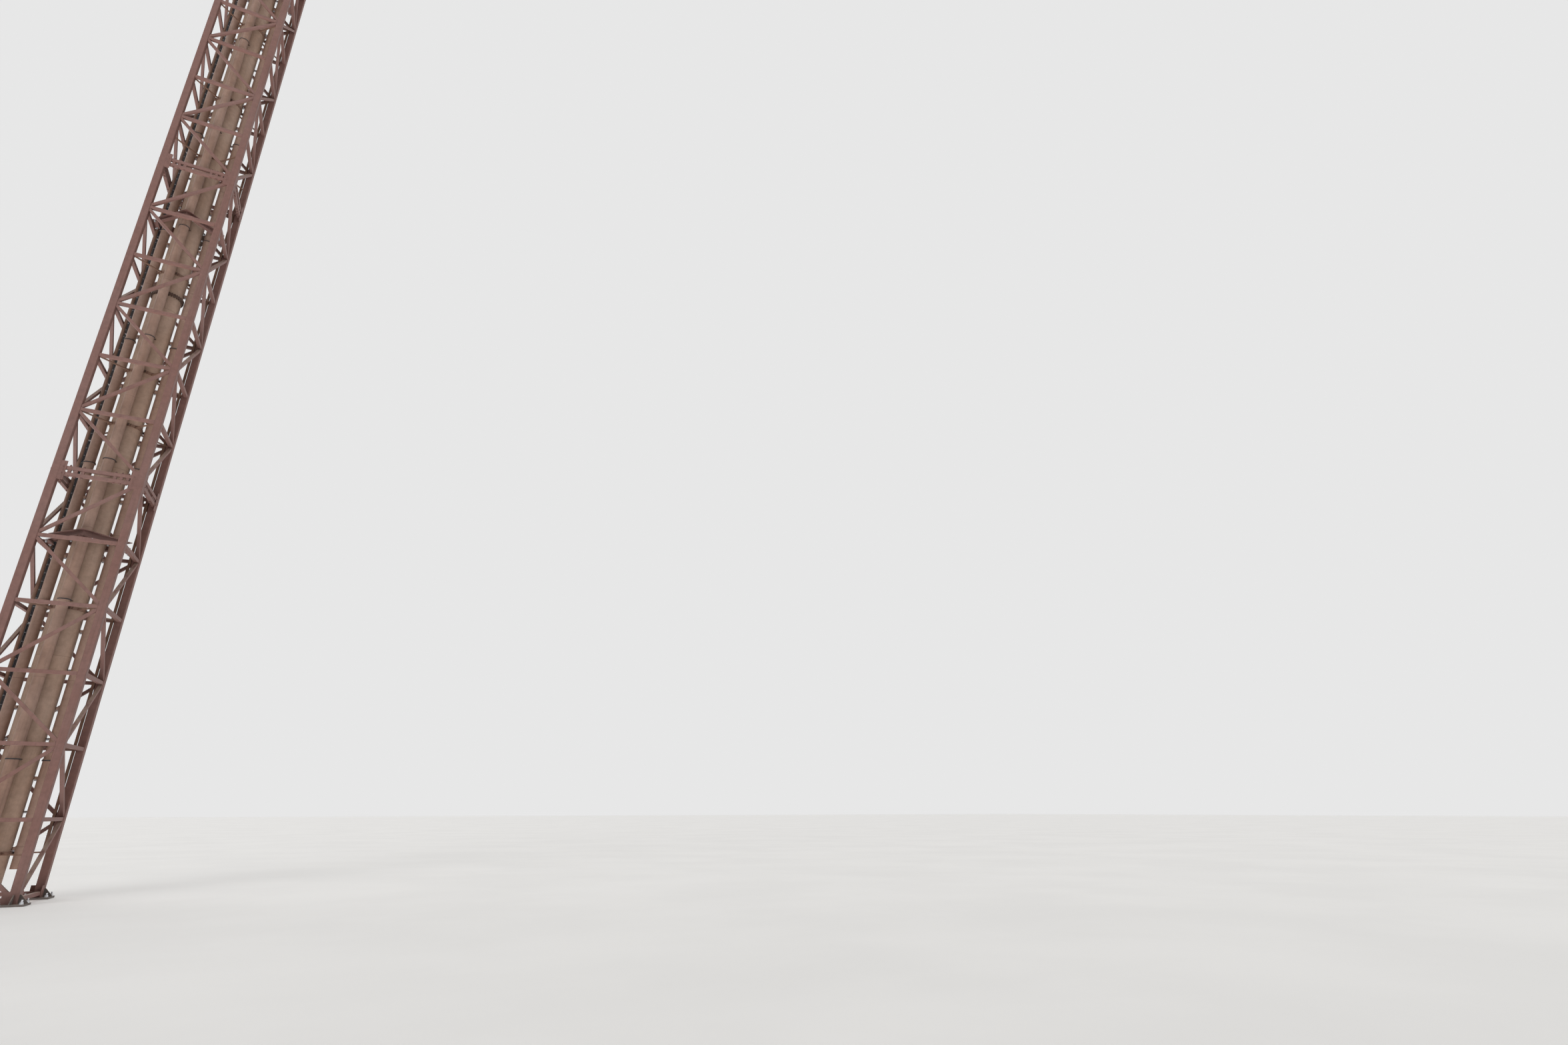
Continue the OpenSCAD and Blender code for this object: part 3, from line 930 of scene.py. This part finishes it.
def strap_plate(reach, width, height):
    """A small plate with eased edges and a raised middle, centred on the origin."""
    plate = block((reach, width, height))
    select_faces(plate, lambda p: abs(p.normal.y) > FACING)
    bpy.ops.mesh.inset(thickness=min(reach, height) * 0.18)
    bpy.ops.transform.resize(value=(1, 1.12, 1), center_override=(0, 0, 0))
    bpy.ops.object.mode_set(mode="OBJECT")
    return plate


class MAST_OT_gap_straps(bpy.types.Operator):
    """Sets the small bolted straps in the gaps between the central pipe and the cylinders"""

    bl_idname = "mast.gap_straps"
    bl_label = "Gap straps"

    strap_rise: bpy.props.FloatProperty(
        name="Strap rise", description="Height of a strap above its horizontal",
        unit="LENGTH", default=0.107,
    )
    strip_h: bpy.props.FloatProperty(
        name="Strip height", description="Height of the three-bolt strip",
        unit="LENGTH", default=0.36,
    )

    def execute(self, context):
        across = context.scene.mast_sizes.clip_bolt_across
        cylinder_side = CYLINDER_REACH - CYLINDER_R
        gap_mid = (PIPE_R + cylinder_side) / 2
        gap = cylinder_side - PIPE_R
        strap_t = 0.012
        strip_drop, strip_y, strip_face = 0.076, -0.012, -0.0185
        strap = strap_plate(gap + 0.004, 0.03, strap_t)
        strip = strap_plate(gap * 0.7, 0.012, self.strip_h)
        bolt = hexagon(across, 0.5, 1.1)
        small = hexagon(across * 0.85, 0.45 / 0.85, 1 / 0.85)
        for number in range(1, SECTIONS + 1):
            plates, bolts = [], []
            if number in FLANGE_SECTIONS:
                z = level_z(number, 1) - strip_drop
                plates.append((strip, [turned(0, gap_mid, strip_y, z)]))
                spots = [turned(0, gap_mid, strip_face, z + rise) for rise in (-0.135, 0, 0.135)]
                bolts.append((small, [spot @ OUT_FRONT for spot in spots]))
            else:
                spots = [
                    turned(turn, gap_mid, 0, level_z(number, level) + self.strap_rise)
                    for level in range(1, PANELS + 1)
                    for turn in FACE_TURNS
                ]
                plates.append((strap, spots))
                under = Matrix.Translation((0, 0, -strap_t / 2)) @ DOWN
                bolts.append((bolt, [spot @ under for spot in spots]))
            scatter(plates, f"section_{number}_gap_straps", "dark_steel")
            scatter(bolts, f"section_{number}_strap_bolts", "zinc")
        discard(strap, strip, bolt, small)
        return {"FINISHED"}


def clamp_lug(width, height, thickness, reach):
    """A pair of lugs that close a band, on the +X side of the band."""
    parts = []
    for side in (-1, 1):
        parts.append(block((reach, thickness, height), (reach / 2, side * (width / 2), 0)))
        ease_edges(thickness * 0.25)
    return joined(parts)


class MAST_OT_clamp_lugs(bpy.types.Operator):
    """Adds the bolted lugs that close the clamp bands"""

    bl_idname = "mast.clamp_lugs"
    bl_label = "Clamp band lugs"

    def execute(self, context):
        across = context.scene.mast_sizes.bolt_across
        lug = clamp_lug(width=0.026, height=BAND_H * 0.8, thickness=0.008, reach=0.034)
        bolt = hexagon(across, 0.45, 1.2, 0.3)
        band_r = PIPE_R + BAND_T
        bolt_r, bolt_y, bolt_rise = band_r + 0.02, -0.017, 0.009
        for number in range(1, SECTIONS + 1):
            lugs, bolts = [], []
            for level in SUPPORT_LEVELS[number % 2]:
                z = level_z(number, level) - STRUT_H / 2 + BAND_H / 2
                for turn in CLAMP_TURNS:
                    lugs.append(turned(turn, band_r, 0, z))
                    for rise in (-bolt_rise, bolt_rise):
                        bolts.append(turned(turn, bolt_r, bolt_y, z + rise) @ OUT_FRONT)
            name = f"section_{number}_clamp_lugs"
            scatter([(lug, lugs)], name, "support_paint")
            name = f"section_{number}_clamp_bolts"
            scatter([(bolt, bolts)], name, "dark_steel")
        discard(lug, bolt)
        return {"FINISHED"}


class MAST_OT_cylinder_bands(bpy.types.Operator):
    """Adds the dark clamp rings round the joints of the air cylinders"""

    bl_idname = "mast.cylinder_bands"
    bl_label = "Cylinder joint rings"

    def execute(self, context):
        start_clean()
        bpy.ops.mesh.primitive_torus_add(
            major_segments=48, minor_segments=8, major_radius=COLLAR_R + 0.0015, minor_radius=0.0055
        )
        ring = bpy.context.object
        edit_all()
        bpy.ops.transform.resize(value=(1, 1, 1.5), center_override=(0, 0, 0))
        bpy.ops.object.mode_set(mode="OBJECT")
        across = context.scene.mast_sizes.bolt_across
        bolt = hexagon(across, 0.8, 1.4, 0.3)
        count = int((PIPE_TOP - JOINT_FIRST - COLLAR_H) / JOINT_PITCH) + 1
        aside = Matrix.Rotation(math.radians(125), 4, "Z")
        outer = aside @ Matrix.Translation((COLLAR_R + 0.004, 0, 0))
        outwards = Matrix.Rotation(math.pi / 2, 4, "Y")
        for turn, side in zip((270, 0, 90, 180), ("front", "right", "back", "left")):
            rings, bolts = [], []
            for k in range(count):
                z = JOINT_FIRST + k * JOINT_PITCH
                middle = turned(turn, CYLINDER_REACH, 0, z + COLLAR_H * 0.3)
                rings.append(middle)
                bolts.append(middle @ outer @ outwards)
            scatter([(ring, rings)], f"{side}_cylinder_rings", "rubber_black")
            name = f"{side}_cylinder_ring_bolts"
            scatter([(bolt, bolts)], name, "dark_steel")
        discard(ring, bolt)
        return {"FINISHED"}


def bundle_place(z):
    """A place in the middle of the cable bundle."""
    return Matrix.Translation((CABLE_X, CABLE_Y, z))


def swaying_cable(spot, radius, low, rise, steps, sway):
    """One cable of the bundle, drawn upwards in lengths that wander a little."""
    start_clean()
    bpy.ops.mesh.primitive_circle_add(
        vertices=8, radius=radius, fill_type="NGON", location=(CABLE_X, CABLE_Y, low)
    )
    cable = bpy.context.object
    cable.data.transform(Matrix.Translation((spot[0] * radius, spot[1] * radius, 0)))
    edit_all()
    x = y = 0.0
    for step in range(steps):
        loose = 0.004 if step % 2 == 0 else 0.001
        new_x, new_y = sway.uniform(-loose, loose), sway.uniform(-loose, loose)
        bpy.ops.mesh.extrude_region_move(
            TRANSFORM_OT_translate={"value": (new_x - x, new_y - y, rise)}
        )
        x, y = new_x, new_y
    bpy.ops.mesh.select_all(action="SELECT")
    bpy.ops.mesh.normals_make_consistent(inside=False)
    bpy.ops.object.mode_set(mode="OBJECT")
    return cable


def cable_tie(radius):
    """A tie round the bundle."""
    start_clean()
    bpy.ops.mesh.primitive_cylinder_add(vertices=8, radius=radius * 2.45, depth=0.01)
    tie = bpy.context.object
    select_faces(tie, lambda p: abs(p.normal.z) > FACING)
    bpy.ops.mesh.inset(thickness=radius * 0.3)
    bpy.ops.object.mode_set(mode="OBJECT")
    return tie


def cable_boot(radius):
    """A rubber boot that closes an end of the bundle."""
    start_clean()
    bpy.ops.mesh.primitive_cylinder_add(vertices=12, radius=radius * 2.9, depth=0.09)
    boot = bpy.context.object
    select_faces(boot, lambda p: abs(p.normal.z) > FACING)
    bpy.ops.mesh.bevel(offset=0.006, segments=2)
    bpy.ops.object.mode_set(mode="OBJECT")
    return boot


def cable_bracket():
    """A bracket from the riser to the bundle, which stands on the origin."""
    bracket = block((0.062, 0.036, 0.006), (-0.012, 0, 0))
    bracket.rotation_euler = (0, 0, math.radians(-34))
    bpy.ops.object.transform_apply(location=True, rotation=True, scale=True)
    ease_edges(0.0015)
    return bracket


class MAST_OT_cables(bpy.types.Operator):
    """Runs the cable bundle up beside the riser pipe, with its ties, boots and brackets"""

    bl_idname = "mast.cables"
    bl_label = "Cable bundle"

    def execute(self, context):
        sizes = context.scene.mast_sizes
        radius = sizes.cable_d / 2
        pitch = sizes.cable_tie_pitch
        low = RISER_LOW.z + 0.1
        high = PIPE_TOP - 0.2
        steps = int((high - low) / (pitch * 2.5))
        rise = (high - low) / steps
        sway = random.Random(11)
        spots = ((-1.0, 1.0), (1.0, 1.0), (1.0, -1.0), (-1.0, -1.0))
        cables = [swaying_cable(spot, radius, low, rise, steps, sway) for spot in spots]
        settle(cables, "cable_bundle", "rubber_black")

        tie = cable_tie(radius)
        count = int((high - low) / pitch)
        places = [bundle_place(low + (k + 0.5) * pitch) for k in range(count)]
        scatter([(tie, places)], "cable_ties", "box_grey")

        boot = cable_boot(radius)
        scatter([(boot, [bundle_place(low), bundle_place(high)])], "cable_boots", "rubber_black")

        bracket = cable_bracket()
        across = sizes.bolt_across
        bolt = hexagon(across, 0.5, 1.3, 0.3)
        end, clear = 0.06, 0.2
        heights = [low + end, high - end]
        for number in range(1, SECTIONS + 1):
            levels = [level_z(number, level) for level in CABLE_BRACKETS]
            heights += [z for z in levels if low + clear < z < high - clear]
        spots = [bundle_place(z) for z in heights]
        under = Matrix.Translation((0.012, -0.014, -0.003)) @ DOWN
        scatter([(bracket, spots)], "cable_brackets", "support_paint")
        bolts = [spot @ under for spot in spots]
        scatter([(bolt, bolts)], "cable_bracket_bolts", "zinc")
        discard(tie, boot, bracket, bolt)
        return {"FINISHED"}


class MAST_OT_anchors(bpy.types.Operator):
    """Sets the anchor studs with their nuts on the base plates"""

    bl_idname = "mast.anchors"
    bl_label = "Anchor nuts"

    def execute(self, context):
        across = context.scene.mast_sizes.anchor_across
        nut = hexagon(across, 0.53, 1.45, 0.75)
        half = ANCHOR_PITCH / 2
        places = [
            turned(turn, LEG_MID + x, -LEG_MID + y, BASE_T)
            for turn in FACE_TURNS
            for x in (-half, half)
            for y in (-half, half)
        ]
        scatter([(nut, places)], "anchor_nuts", "zinc")
        discard(nut)
        return {"FINISHED"}


# ---------------------------------------------------------------- stage


def backdrop_rays(tree):
    """1 for the rays that show a background to the camera, in a reflection or in glass."""
    rays = add(tree, "ShaderNodeLightPath").outputs
    seen = maths(tree, "MAXIMUM", rays["Is Camera Ray"], rays["Is Glossy Ray"])
    return maths(tree, "MAXIMUM", seen, rays["Is Transmission Ray"])


class MAST_OT_stage(bpy.types.Operator):
    """Lays the floor, and sets the lights and the camera"""

    bl_idname = "mast.stage"
    bl_label = "Stage"

    def execute(self, context):
        stage = context.scene.mast_stage
        start_clean()
        bpy.ops.mesh.primitive_plane_add(size=stage.floor_size, location=(0, 0, -0.002))
        floor = context.object
        floor.name = "stage_floor"
        material = bpy.data.materials.new("floor")
        material.use_nodes = True
        tree = material.node_tree
        shader = tree.nodes["Principled BSDF"]
        place = add(tree, "ShaderNodeTexCoord").outputs["Object"]
        tone = ramp(tree, noise(tree, place, 0.35, 4.0), 0.3, 0.7, 0.97, 1.02)
        shade = scaled(tree, tuple(stage.floor), tone)
        tree.links.new(shade, shader.inputs["Base Color"])
        shader.inputs["Roughness"].default_value = 0.9
        shader.inputs["Emission Color"].default_value = (1.0, 1.0, 1.0, 1.0)
        glow = times(tree, backdrop_rays(tree), stage.floor_glow)
        tree.links.new(glow, shader.inputs["Emission Strength"])
        floor.data.materials.append(material)
        floor.visible_shadow = False

        world = bpy.data.worlds.new("studio")
        context.scene.world = world
        world.use_nodes = True
        tree = world.node_tree
        background = tree.nodes["Background"]
        background.inputs["Color"].default_value = (1.0, 0.98, 0.96, 1.0)
        background.inputs["Strength"].default_value = stage.ambient
        seen = {"Color": opaque(stage.backdrop), "Strength": 1.0}
        shown = add(tree, "ShaderNodeBackground", seen)
        views = {0: backdrop_rays(tree), 1: background.outputs[0], 2: shown.outputs[0]}
        mixer = add(tree, "ShaderNodeMixShader", views)
        tree.links.new(mixer.outputs[0], tree.nodes["World Output"].inputs["Surface"])

        for name, strength, turn, rise, spread in (
            ("key_light", stage.key, -38.0, 38.0, 30.0),
            ("fill_light", stage.fill, 70.0, 25.0, 60.0),
            ("back_light", stage.back, -150.0, 30.0, 60.0),
            ("low_light", stage.low, -14.0, -64.0, 50.0),
        ):
            light = bpy.data.lights.new(name, "SUN")
            light.energy = strength
            light.angle = math.radians(spread)
            lamp = bpy.data.objects.new(name, light)
            lamp.rotation_euler = (math.radians(90 - rise), 0, math.radians(turn))
            context.collection.objects.link(lamp)

        camera = bpy.data.objects.new("photo_camera", bpy.data.cameras.new("photo_camera"))
        camera.data.lens = stage.lens
        camera.data.sensor_width = SENSOR_W
        camera.location = CAMERA_PLACE
        turns = (90 + CAMERA_PITCH, CAMERA_ROLL, CAMERA_YAW)
        camera.rotation_euler = [math.radians(turn) for turn in turns]
        camera.data.clip_end = VIEW_END
        context.collection.objects.link(camera)
        context.scene.camera = camera
        context.scene.view_settings.view_transform = "Standard"
        return {"FINISHED"}


class MAST_PT_panel(bpy.types.Panel):
    """Lists the mast's settings and the steps that dress it"""

    bl_idname = "MAST_PT_panel"
    bl_label = "Drop Tower Mast"
    bl_space_type = "VIEW_3D"
    bl_region_type = "UI"
    bl_category = "Mast"

    def draw(self, context):
        scene = context.scene
        for settings in (scene.mast_colours, scene.mast_sizes, scene.mast_stage):
            column = self.layout.column(align=True)
            for key in settings.bl_rna.properties.keys():
                if key not in ("rna_type", "name"):
                    column.prop(settings, key)
        column = self.layout.column(align=True)
        for step in STEPS:
            column.operator(step.bl_idname)


STEPS = (
    MAST_OT_materials,
    MAST_OT_welds,
    MAST_OT_joint_bolts,
    MAST_OT_pipe_bolts,
    MAST_OT_frame_bolts,
    MAST_OT_gap_straps,
    MAST_OT_clamp_lugs,
    MAST_OT_cylinder_bands,
    MAST_OT_cables,
    MAST_OT_anchors,
    MAST_OT_stage,
)
SETTINGS = (MastColours, MastSizes, MastStage)


def register():
    for item in SETTINGS + STEPS + (MAST_PT_panel,):
        bpy.utils.register_class(item)
    bpy.types.Scene.mast_colours = bpy.props.PointerProperty(type=MastColours)
    bpy.types.Scene.mast_sizes = bpy.props.PointerProperty(type=MastSizes)
    bpy.types.Scene.mast_stage = bpy.props.PointerProperty(type=MastStage)


def unregister():
    del bpy.types.Scene.mast_colours
    del bpy.types.Scene.mast_sizes
    del bpy.types.Scene.mast_stage
    for item in reversed(SETTINGS + STEPS + (MAST_PT_panel,)):
        bpy.utils.unregister_class(item)


def main():
    """Runs every step in order."""
    register()
    for step in STEPS:
        group, name = step.bl_idname.split(".")
        getattr(getattr(bpy.ops, group), name)()


if __name__ == "__main__":
    main()
